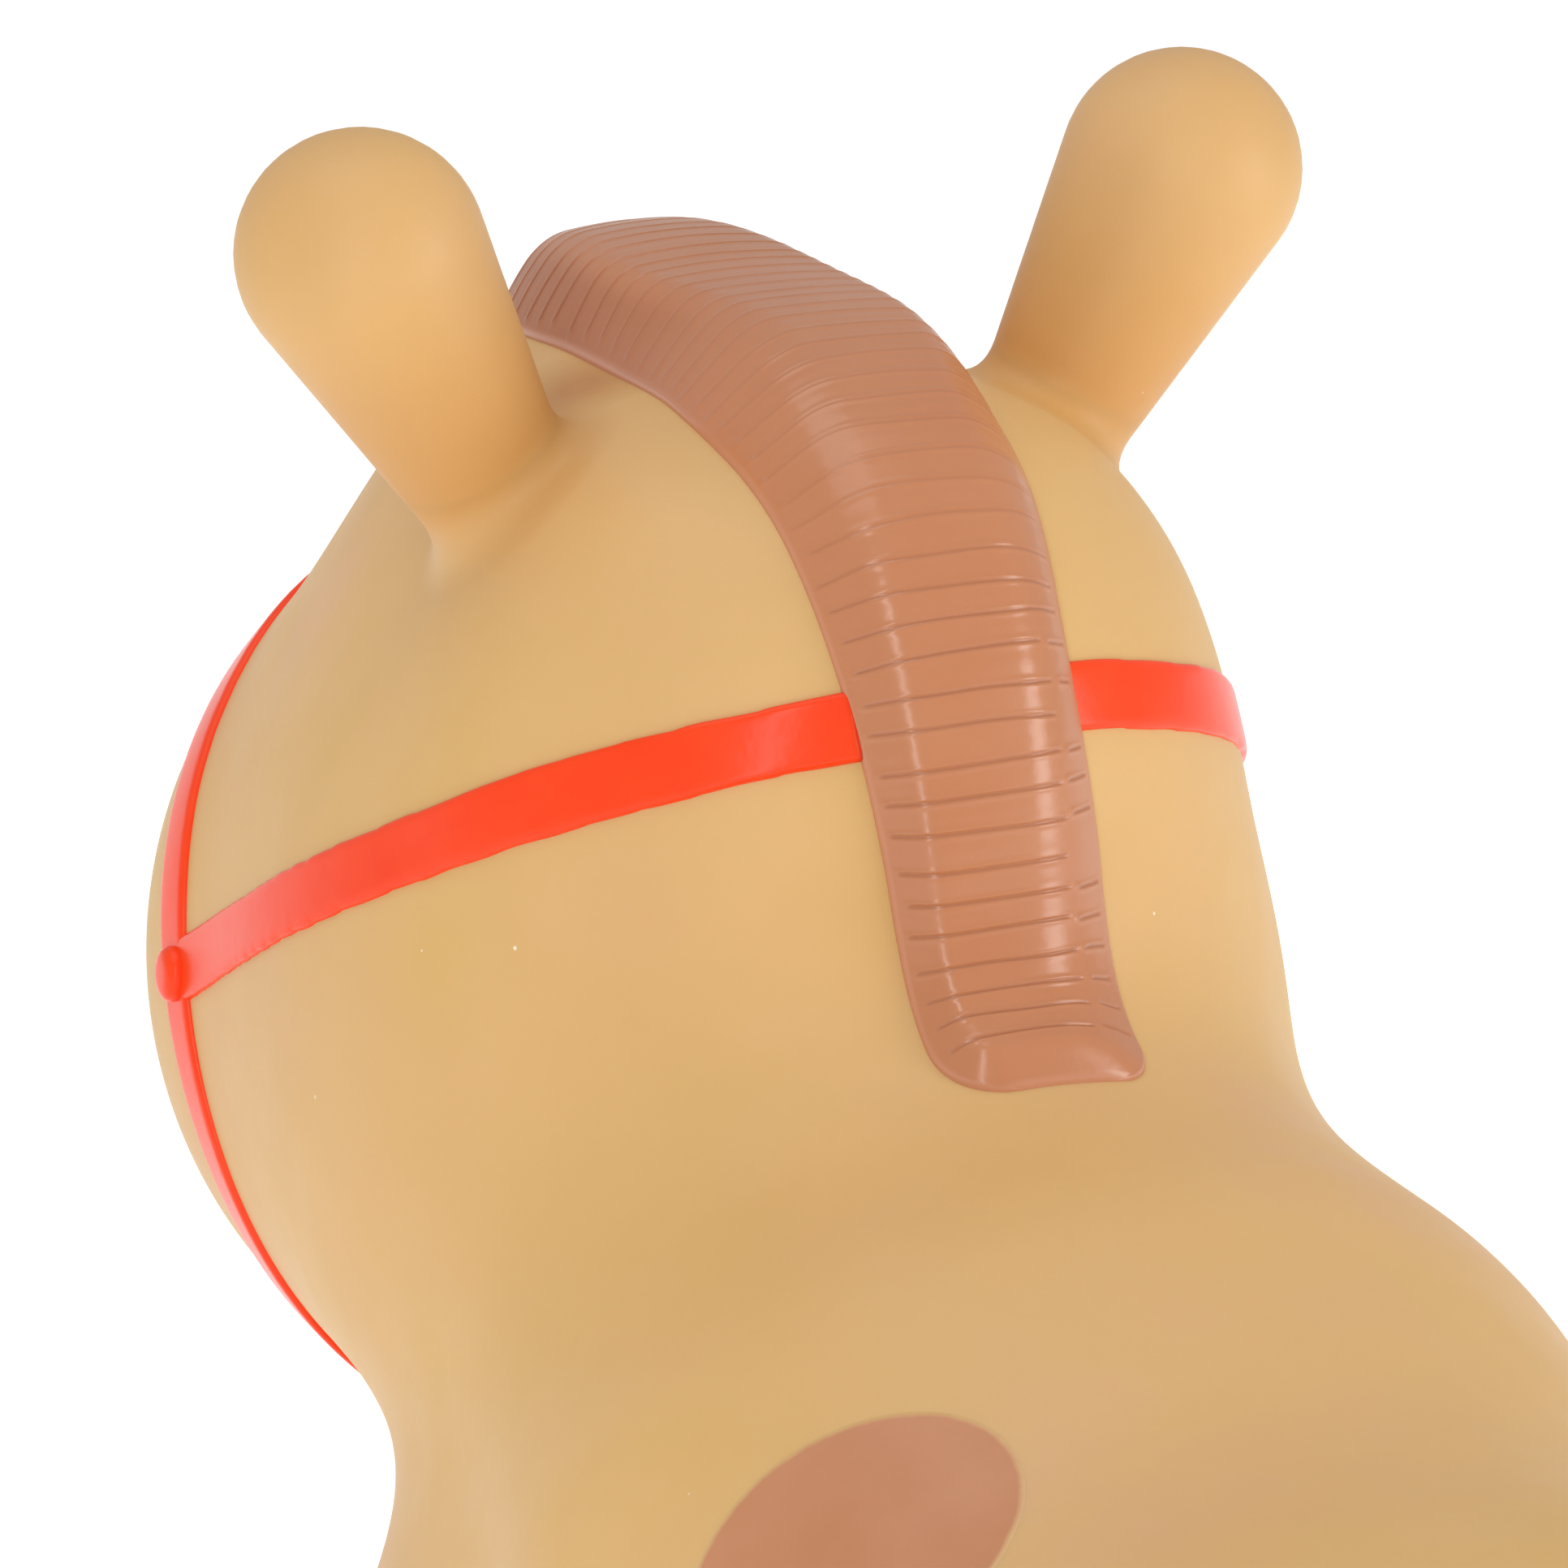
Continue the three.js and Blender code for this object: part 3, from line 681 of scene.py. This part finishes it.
def make_skin():
    source = split_skin()
    ear_cuts = []
    for name, side in (("left", 1), ("right", -1)):
        root, axis = ear_axis(side)
        ear_cuts.append((name, side, root + axis * EAR_SPLIT, axis))
    make_body(source, ear_cuts)
    for ear_cut in ear_cuts:
        make_ear(source, *ear_cut)
    for end, leg, rear in (("front", FRONT_LEG, -1), ("hind", HIND_LEG, 1)):
        for name, side in (("left", 1), ("right", -1)):
            make_leg(source, f"{end}_{name}", side, rear)
    source.free()


make_skin()


# ---- Mane ----

MANE_HUB = at(0, -120, 300)
MANE_ANGLES = (124, 12.4)

# The cross-section at stages of the mane's way, 0 at the forehead and 1 at the nape end: half its
# width, half its flat top, its height, and how far the band and its top lean left.
MANE_STAGES = {
    "at": (0, 0.1, 0.2, 0.33, 0.43, 0.55, 0.7, 0.87, 1),
    "half": (30, 33, 29, 28.5, 30.5, 28, 24, 23, 22),
    "top": (15, 17, 20, 17.5, 16.5, 14.5, 14, 13, 12),
    "height": (12, 15, 16, 16, 15, 10, 8, 7, 6.5),
    "drift": (0, 0, 0, 0, 0, 0, 0, -5, -6),
    "lean": (0, 0, -1, -5, -5.5, -1, 0, 3, 3),
}
MANE_EDGE = 1.1
MANE_BROW = 12  # rounding of the forehead end
MANE_CORNERS = (14.0, 9.0)  # rounding of the nape end, left and right
RIM_ROUND = 1.1
GROOVE_PITCH = 6.6
GROOVE_START, GROOVE_STOP = 5.0, 10.0  # plain lengths at the two ends
GROOVE_BREAK = 0.68  # past this share of the way the lines are broken at the right crown edge
GROOVE_END = 0.6  # a line fades over twice this length at each end
BEAD_HEIGHT, BEAD_WIDTH, CUT_WIDTH, SHADE_WIDTH = 0.34, 0.95, 0.36, 0.5
TROUGH_DEPTH, TROUGH_WIDTH = 0.12, 2.3  # the soft dip that each line lies in
DOT_HEIGHT, DOT_AREA = 0.3, 0.7  # the drop at the left end of each line


def arc_path(hub, angles, count):
    """A path down the middle of the back, seen from a hub inside."""
    angle = np.radians(np.linspace(*angles, count))
    direction = np.stack([np.zeros(count), np.cos(angle), np.sin(angle)], -1)
    return skin_along(np.broadcast_to(hub, direction.shape), direction)


def eased(x, values, wide):
    """Values at the mane's stages, joined by a curve that has no corners."""
    steps = np.linspace(-wide, wide, 9)
    reached = [np.interp(np.clip(x + step, 0, 1), MANE_STAGES["at"], values) for step in steps]
    return np.mean(reached, axis=0)


def rounded(distance, corner):
    """A quarter round: 0 at an end, and 1 from the corner's length on."""
    return np.clip(1 - (np.clip(corner - distance, 0, corner) / corner) ** 2, 0, 1) ** 0.5


def crowded(columns, amount):
    """Columns from -1 to 1 that lie closer together towards the borders."""
    even = np.linspace(-1, 1, columns)[None, :]
    return (1 - amount) * even + amount * np.sin(even * np.pi / 2)


def bell(gap, width):
    return np.exp(-((gap / width) ** 2))


def bead(gap, depth):
    """A scored line in section: a thin raised bead with a cut down its middle."""
    return BEAD_HEIGHT * bell(gap, BEAD_WIDTH) - depth * bell(gap, CUT_WIDTH)


def scored_lines(run, across, length, half, crown_right):
    """The height of the wavering lines that are scored across the mane, and the painted shade in
    them.
    """
    height = np.zeros(across.shape)
    shade = np.zeros(across.shape)
    place = GROOVE_START
    while place < length - GROOVE_STOP:
        part = place / length
        depth = 0.3 + 0.35 * smoothstep(0.55, 0.7, part) + 0.45 * smoothstep(0.3, 0.1, part)
        border = float(np.interp(part, run[:, 0] / length, half[:, 0]))
        crown = float(np.interp(part, run[:, 0] / length, crown_right[:, 0]))
        wave = RNG.uniform(0.05, 0.22) * np.sin(across * RNG.uniform(0.1, 0.3) + RNG.uniform(0, 6))
        tilt = RNG.normal(0.0, 0.012) * across
        low = part > GROOVE_BREAK
        left_end = border - RNG.uniform(1.7, 2.9)
        main_end = crown - RNG.uniform(0, 1.5) if low else RNG.uniform(3, 4.5) - border
        spans = [(main_end, left_end, 0.0)]
        if low and RNG.uniform() < 0.85:
            spans.append((RNG.uniform(2.5, 3.5) - border, main_end - RNG.uniform(1.8, 2.6),
                          RNG.uniform(-0.7, 1.0)))
        for right, left, slip in spans:
            gap = run - (place + wave + tilt + slip)
            reach = smoothstep(right - GROOVE_END, right + GROOVE_END, across)
            reach = reach * smoothstep(left + GROOVE_END, left - GROOVE_END, across)
            height += bead(gap, depth) * reach - TROUGH_DEPTH * bell(gap, TROUGH_WIDTH) * reach
            shade += bell(gap, SHADE_WIDTH) * reach * depth
            height += DOT_HEIGHT * np.exp(-((gap ** 2 + (across - left) ** 2) / DOT_AREA))
        place += GROOVE_PITCH * RNG.uniform(0.88, 1.14)
    return height, np.clip(shade, 0, 1)


def make_mane():
    steps, columns = ((900, 105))
    path = resampled(arc_path(MANE_HUB, MANE_ANGLES, steps), steps)
    length = np.linalg.norm(np.diff(path, axis=0), axis=1).sum()
    run = np.linspace(0, length, steps)[:, None]
    part = run / length
    half, top, tall, drift, lean = (
        eased(part, MANE_STAGES[name], 0.05) for name in ("half", "top", "height", "drift", "lean")
    )
    brow = MANE_BROW * (1 - rounded(run, MANE_BROW))
    left, right = (
        half - corner + corner * rounded(length - run, corner) - brow for corner in MANE_CORNERS
    )
    share = crowded(columns, 0.55)
    across = np.where(share > 0, share * left, share * right)
    rows = band_rows(path, across + drift, hold_x=True)
    rise_left = (left - across) / (half - top - lean)
    rise_right = (right + across) / (half - top + lean)
    ends = np.minimum(run / 7, (length - run) / 6)
    rise = smooth_union(rise_left, rise_right, 0.5)
    rise = smooth_union(rise, np.ones(rise.shape), np.where(across > 0, 0.3, 0.55))
    rise = smooth_union(rise, ends, 0.5)
    margin = np.minimum(np.minimum(left - across, right + across), np.minimum(run, length - run))
    rim = np.sqrt(np.clip(1 - (1 - np.clip(margin / RIM_ROUND, 0, 1)) ** 2, 0, 1))
    lines, shade = scored_lines(run, across, length, half, lean - top)
    flat = smoothstep(0.0, 2.5, margin)
    lift = MANE_EDGE * rim + (tall - MANE_EDGE) * np.clip(rise, 0, 2) + lines * flat
    # painted shade: darker on the left side wall near the forehead and along the scored lines
    wall = smoothstep(1.0, 0.6, rise_left) * smoothstep(0.42, 0.15, part)
    piece = grid_piece("mane_ridge", rows, lift)
    grid_attribute(piece, "shade", shade * flat * 0.5 + 0.5 * wall)
    grid_attribute(piece, "rim", smoothstep(1.3, 0.3, margin) * 0.6)
    finish_piece(piece, BROWN_PVC, "brown_pvc", "body", "mane")


make_mane()


# ---- Tail ----

TAIL_HUB = at(0, 205, 205)
TAIL_ANGLES = (62, -22)
TAIL_HALF, TAIL_THICK = 19.0, 9.0


def make_tail():
    steps, columns = ((360, 61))
    path = resampled(arc_path(TAIL_HUB, TAIL_ANGLES, steps), steps)
    length = np.linalg.norm(np.diff(path, axis=0), axis=1).sum()
    run = np.linspace(0, length, steps)[:, None]
    part = run / length
    width = TAIL_HALF * np.sin(np.pi * np.clip(0.14 + 0.86 * part ** 0.85, 0, 1)) ** 0.7
    width = np.maximum(width, 0.5)
    share = np.linspace(-1, 1, columns)[None, :]
    across = share * width
    rows = band_rows(path, across)
    dome = np.broadcast_to(np.sqrt(np.clip(1 - share ** 2, 0, 1)) ** 0.8, across.shape)
    locks = 0.5 * np.cos(share * np.pi * 3.0 + 2.2 * part) * smoothstep(0.05, 0.3, part)
    lift = TAIL_THICK * dome * (0.35 + 0.65 * width / TAIL_HALF) * smoothstep(0, 0.06, part)
    lift = lift + locks * dome * 1.4
    piece = grid_piece("tail_ridge", rows, lift)
    # painted shade in the troughs between the locks
    grid_attribute(piece, "shade", np.clip(-locks, 0, 1) * 0.9)
    grid_attribute(piece, "rim", 0.5 * (1 - dome))
    finish_piece(piece, BROWN_PVC, "brown_pvc", "body", "tail")


make_tail()


# ---- Bridle ----

STRAP_HALF, STRAP_LIFT = 7.0, 1.5
RAGGED_FINE, RAGGED_BROAD = 0.09, 0.14  # how far the borders stray
BRIDLE_JOINT = at(107, -197, 297)
NOSEBAND_TOP, NOSEBAND_SIDE, NOSEBAND_THROAT, NOSEBAND_HEIGHT = -280, -194, -176, 288
CHEEK_HUB = at(0, -121, 341)
CHEEK_RISE = np.array([0, 0.866, 0.5])
CHEEK_ANGLES = (-40, 78.5)


def uneven(count, reach):
    """A random line around a ring or along a path, smooth over a number of points."""
    rough = RNG.normal(size=count)
    spread = bell(np.arange(count) - count // 2, reach)
    line = np.real(np.fft.ifft(np.fft.fft(rough) * np.fft.fft(np.fft.ifftshift(spread))))
    return line / line.std()


def strap(name, path, closed, *nodes):
    share = crowded(25, 0.6)
    count = len(path)
    ragged = [
        uneven(count, 3) * RAGGED_FINE + uneven(count, 14) * RAGGED_BROAD for _ in range(2)
    ]
    waver = np.where(share > 0, ragged[0][:, None], ragged[1][:, None])
    across = share * STRAP_HALF + waver * np.abs(share) ** 3
    rows = band_rows(path, across, closed)
    crown = np.clip(1 - np.abs(share) ** 10, 0, 1) ** 0.5
    lift = np.broadcast_to(STRAP_LIFT * crown, across.shape)
    piece = grid_piece(name, rows, lift, closed=closed)
    finish_piece(piece, STRAP_PVC, "strap_pvc", "body", *nodes)


def make_bridle():
    count = 240
    angle = np.linspace(0, 2 * np.pi, count, endpoint=False)
    lean = np.cos(angle)
    tilt = (NOSEBAND_TOP - NOSEBAND_THROAT) / 2
    bow = (NOSEBAND_TOP + NOSEBAND_THROAT) / 2 - NOSEBAND_SIDE
    y = NOSEBAND_SIDE + tilt * lean + bow * lean ** 2
    origin = np.stack([np.zeros(count), y - SHIFT, np.full(count, NOSEBAND_HEIGHT)], -1)
    direction = np.stack([np.sin(angle), np.zeros(count), lean], -1)
    strap("noseband_strap", skin_along(origin, direction), True, "noseband")
    for name, side in (("left", 1), ("right", -1)):
        angle = np.radians(np.linspace(*CHEEK_ANGLES, 160))
        direction = CHEEK_RISE * np.sin(angle)[:, None]
        direction[:, 0] = side * np.cos(angle)
        path = skin_along(np.broadcast_to(CHEEK_HUB, direction.shape), direction)
        strap(f"cheek_strap_skin_{name}", resampled(path, 160), False, f"cheek_strap_{name}")


make_bridle()


# ---- Round patches: spots, eyes, nostrils and rosettes ----

PATCH_SUNK = 0.8  # how far the underside of a patch goes below the skin
RING_CROWDING = 1.8  # the rings lie closer together towards the edge
FILM_EDGE, FILM_FADE = 0.02, 0.8  # a film's thickness at its edge, and how far in it is full
BOSS_RADIUS, BOSS_EDGE, BOSS_RISE = 6, 2.0, 2.6


def patch(name, place, upward, outline, lift_at, rings=28, sectors=96):
    """A closed round patch on the skin; lift_at gives its height from the distance to its edge."""
    centre = settle(np.array(place, float)[None])[0]
    normal = normals(centre[None])[0]
    side = unit(np.cross(upward, normal))
    up = np.cross(normal, side)
    angle = np.linspace(0, 2 * np.pi, sectors, endpoint=False)
    share = 1 - (1 - np.linspace(0, 1, rings + 1)[1:, None]) ** RING_CROWDING
    reach = outline(angle)[None, :]
    ray = np.cos(angle)[:, None] * side + np.sin(angle)[:, None] * up
    rows = settle(centre + (reach * share)[..., None] * ray[None])
    facing = normals(rows)
    margin = reach * (1 - share)
    middle_margin = np.full(1, reach.mean())
    high = rows + facing * lift_at(margin)[..., None]
    low = rows - facing * PATCH_SUNK
    verts = np.concatenate([
        centre[None] + normal * lift_at(middle_margin)[0], high.reshape(-1, 3),
        centre[None] - normal * PATCH_SUNK, low.reshape(-1, 3),
    ])
    grid = 1 + np.arange(rings * sectors).reshape(rings, sectors)
    under = grid + 1 + grid.size
    faces = []
    for i in range(sectors):
        j = (i + 1) % sectors
        faces.append((0, grid[0, i], grid[0, j]))
        faces.append((under[0, 0] - 1, under[0, j], under[0, i]))
        for ring in range(rings - 1):
            faces.append((grid[ring, i], grid[ring + 1, i], grid[ring + 1, j], grid[ring, j]))
            faces.append((under[ring, i], under[ring, j], under[ring + 1, j], under[ring + 1, i]))
        faces.append((grid[-1, i], under[-1, i], under[-1, j], grid[-1, j]))
    piece = new_mesh(name, verts, faces)
    one_side = np.concatenate([middle_margin, margin.ravel()])
    attribute(piece, "margin", np.concatenate([one_side, one_side]))
    return piece


def oval(wide, high):
    return lambda a: wide * high / np.hypot(high * np.cos(a), wide * np.sin(a))


def egg(wide, high, lean):
    return lambda a: oval(wide, high)(a) * (1 + lean * np.sin(a))


def turned(outline, degrees):
    return lambda a: outline(a - math.radians(degrees))


def film(height):
    """A layer of paint that thins to nothing at its edge."""
    return lambda margin: FILM_EDGE + (height - FILM_EDGE) * smoothstep(0, FILM_FADE, margin)


SPOTS = {
    "shoulder_left": (at(73, 101, 285), turned(egg(31, 42, 0.25), 90)),
    "shoulder_right": (at(-108, 70, 228), egg(24, 33, -0.1)),
    "flank_left": (at(112, 170, 200), egg(26, 22, 0.1)),
    "flank_right": (at(-112, 190, 215), egg(30, 26, 0.15)),
    "rump_left": (at(60, 262, 262), egg(24, 30, 0.1)),
    "rump_right": (at(-45, 210, 295), egg(26, 20, -0.12)),
    "chest_left": (at(60, -118, 150), egg(20, 26, 0.1)),
}
FORWARD = np.array([0.0, -1.0, 0.0])
UP = np.array([0.0, 0.0, 1.0])


def make_spots():
    for name, (place, outline) in SPOTS.items():
        piece = patch(f"spot_film_{name}", place, FORWARD, outline, film(0.2))
        finish_piece(piece, SPOT_PAINT, "brown_pvc", "body", f"spot_{name}")


make_spots()

EYE = (at(47, -234, 397), 11.5, 15.0)
PUPIL = (at(46, -236, 395), 6.5, 9.0)
NOSTRIL = (at(34, -305, 300), 7.0, 5.0)


def boss_dome(margin):
    return BOSS_EDGE + BOSS_RISE * np.sqrt(np.clip(1 - (1 - margin / BOSS_RADIUS) ** 4, 0, 1))


def make_face():
    round_outline = oval(BOSS_RADIUS, BOSS_RADIUS)
    for name, side in (("left", 1), ("right", -1)):
        flip = np.array([side, 1, 1])
        white = patch(f"eye_white_film_{name}", EYE[0] * flip, UP, oval(*EYE[1:]), film(0.3))
        finish_piece(white, EYE_WHITE, "eye_white", "body", f"eye_white_{name}")
        pupil = patch(f"eye_pupil_film_{name}", PUPIL[0] * flip, UP, oval(*PUPIL[1:]), film(0.55))
        finish_piece(pupil, EYE_BLACK, "eye_black", "body", f"eye_pupil_{name}")
        dot = patch(f"nostril_film_{name}", NOSTRIL[0] * flip, UP, oval(*NOSTRIL[1:]), film(0.5))
        finish_piece(dot, NOSTRIL_PAINT, "nostril_paint", "body", f"nostril_{name}")
        joint = settle((BRIDLE_JOINT * flip)[None])[0]
        boss = patch(f"rosette_boss_{name}", joint, UP, round_outline, boss_dome, 12, 48)
        finish_piece(boss, STRAP_PVC, "strap_pvc", "body", f"rosette_{name}")


make_face()

for part in ("valve_collar", "valve_plug"):
    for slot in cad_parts[part].material_slots:
        slot.material = VALVE_PLASTIC


# ---- Floor, light and camera ----

FLOOR_REACH = 9
GLOW = 0.5  # light that the floor and the surroundings give


def make_stage():
    signs = ((-1, -1), (1, -1), (1, 1), (-1, 1))
    corners = [(x * FLOOR_REACH, y * FLOOR_REACH, 0) for x, y in signs]
    floor_mesh = bpy.data.meshes.new("floor")
    floor_mesh.from_pydata(corners, [], [(0, 1, 2, 3)])
    floor = bpy.data.objects.new("floor", floor_mesh)
    bpy.context.scene.collection.objects.link(floor)
    made, _, shader = material("floor_paint", (0.93, 0.93, 0.93), 0.9)
    shader.inputs["Emission Color"].default_value = (1, 1, 1, 1)
    shader.inputs["Emission Strength"].default_value = GLOW
    floor_mesh.materials.append(made)
    world = bpy.data.worlds.new("studio")
    bpy.context.scene.world = world
    world.use_nodes = True
    background = world.node_tree.nodes["Background"]
    background.inputs["Color"].default_value = (1, 1, 1, 1)
    background.inputs["Strength"].default_value = GLOW


def soft_light(name, place, target, size, power):
    lamp = bpy.data.lights.new(name, "AREA")
    lamp.shape = "RECTANGLE"
    lamp.size, lamp.size_y = size
    lamp.energy = power
    holder = bpy.data.objects.new(name, lamp)
    holder.location = place
    aim = Vector(target) - Vector(place)
    holder.rotation_euler = aim.to_track_quat("-Z", "Y").to_euler()
    bpy.context.scene.collection.objects.link(holder)


HEAD = (0, -0.1, 0.38)


def towards(azimuth, elevation, distance):
    """A place at a distance from the head; azimuth 0 is in front of it, 90 is on its left."""
    a, e = math.radians(azimuth), math.radians(elevation)
    way = Vector((math.sin(a) * math.cos(e), -math.cos(a) * math.cos(e), math.sin(e)))
    return Vector(HEAD) + way * distance


def standing(azimuth, distance, height):
    """A place at a height beside the horse."""
    a = math.radians(azimuth)
    return Vector((HEAD[0] + math.sin(a) * distance, HEAD[1] - math.cos(a) * distance, height))


VIEW_AZIMUTH, VIEW_ELEVATION, VIEW_DISTANCE = 157.14, 19.14, 1.4
VIEW_WIDTH = 0.322  # the frame's width at the aim point
AIM_FROM_EARS = Vector((0.0092, 0.0236, -0.1049))
SENSOR = 36.0


def make_camera():
    ears = [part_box(f"ear_{side}") for side in ("left", "right")]
    middle = sum((low + high for low, high in ears), Vector()) / 4
    aim = middle + AIM_FROM_EARS
    back = (towards(VIEW_AZIMUTH, VIEW_ELEVATION, 1) - Vector(HEAD)).normalized()
    lens = bpy.data.cameras.new("camera")
    lens.sensor_width = SENSOR
    lens.lens = SENSOR * VIEW_DISTANCE / VIEW_WIDTH
    lens.clip_end = 100
    camera = bpy.data.objects.new("camera", lens)
    camera.location = aim + back * VIEW_DISTANCE
    camera.rotation_euler = back.to_track_quat("Z", "Y").to_euler()
    bpy.context.scene.collection.objects.link(camera)
    bpy.context.scene.camera = camera


make_stage()
soft_light("left_strip", standing(147, 2.2, 1.3), HEAD, (0.17, 2.4), 15)
soft_light("right_box", standing(229, 2.2, 0.68), HEAD, (0.7, 1.2), 14)
soft_light("top", towards(60, 78, 2.4), HEAD, (2.0, 2.0), 17)
make_camera()
bpy.context.scene.view_settings.view_transform = "Standard"
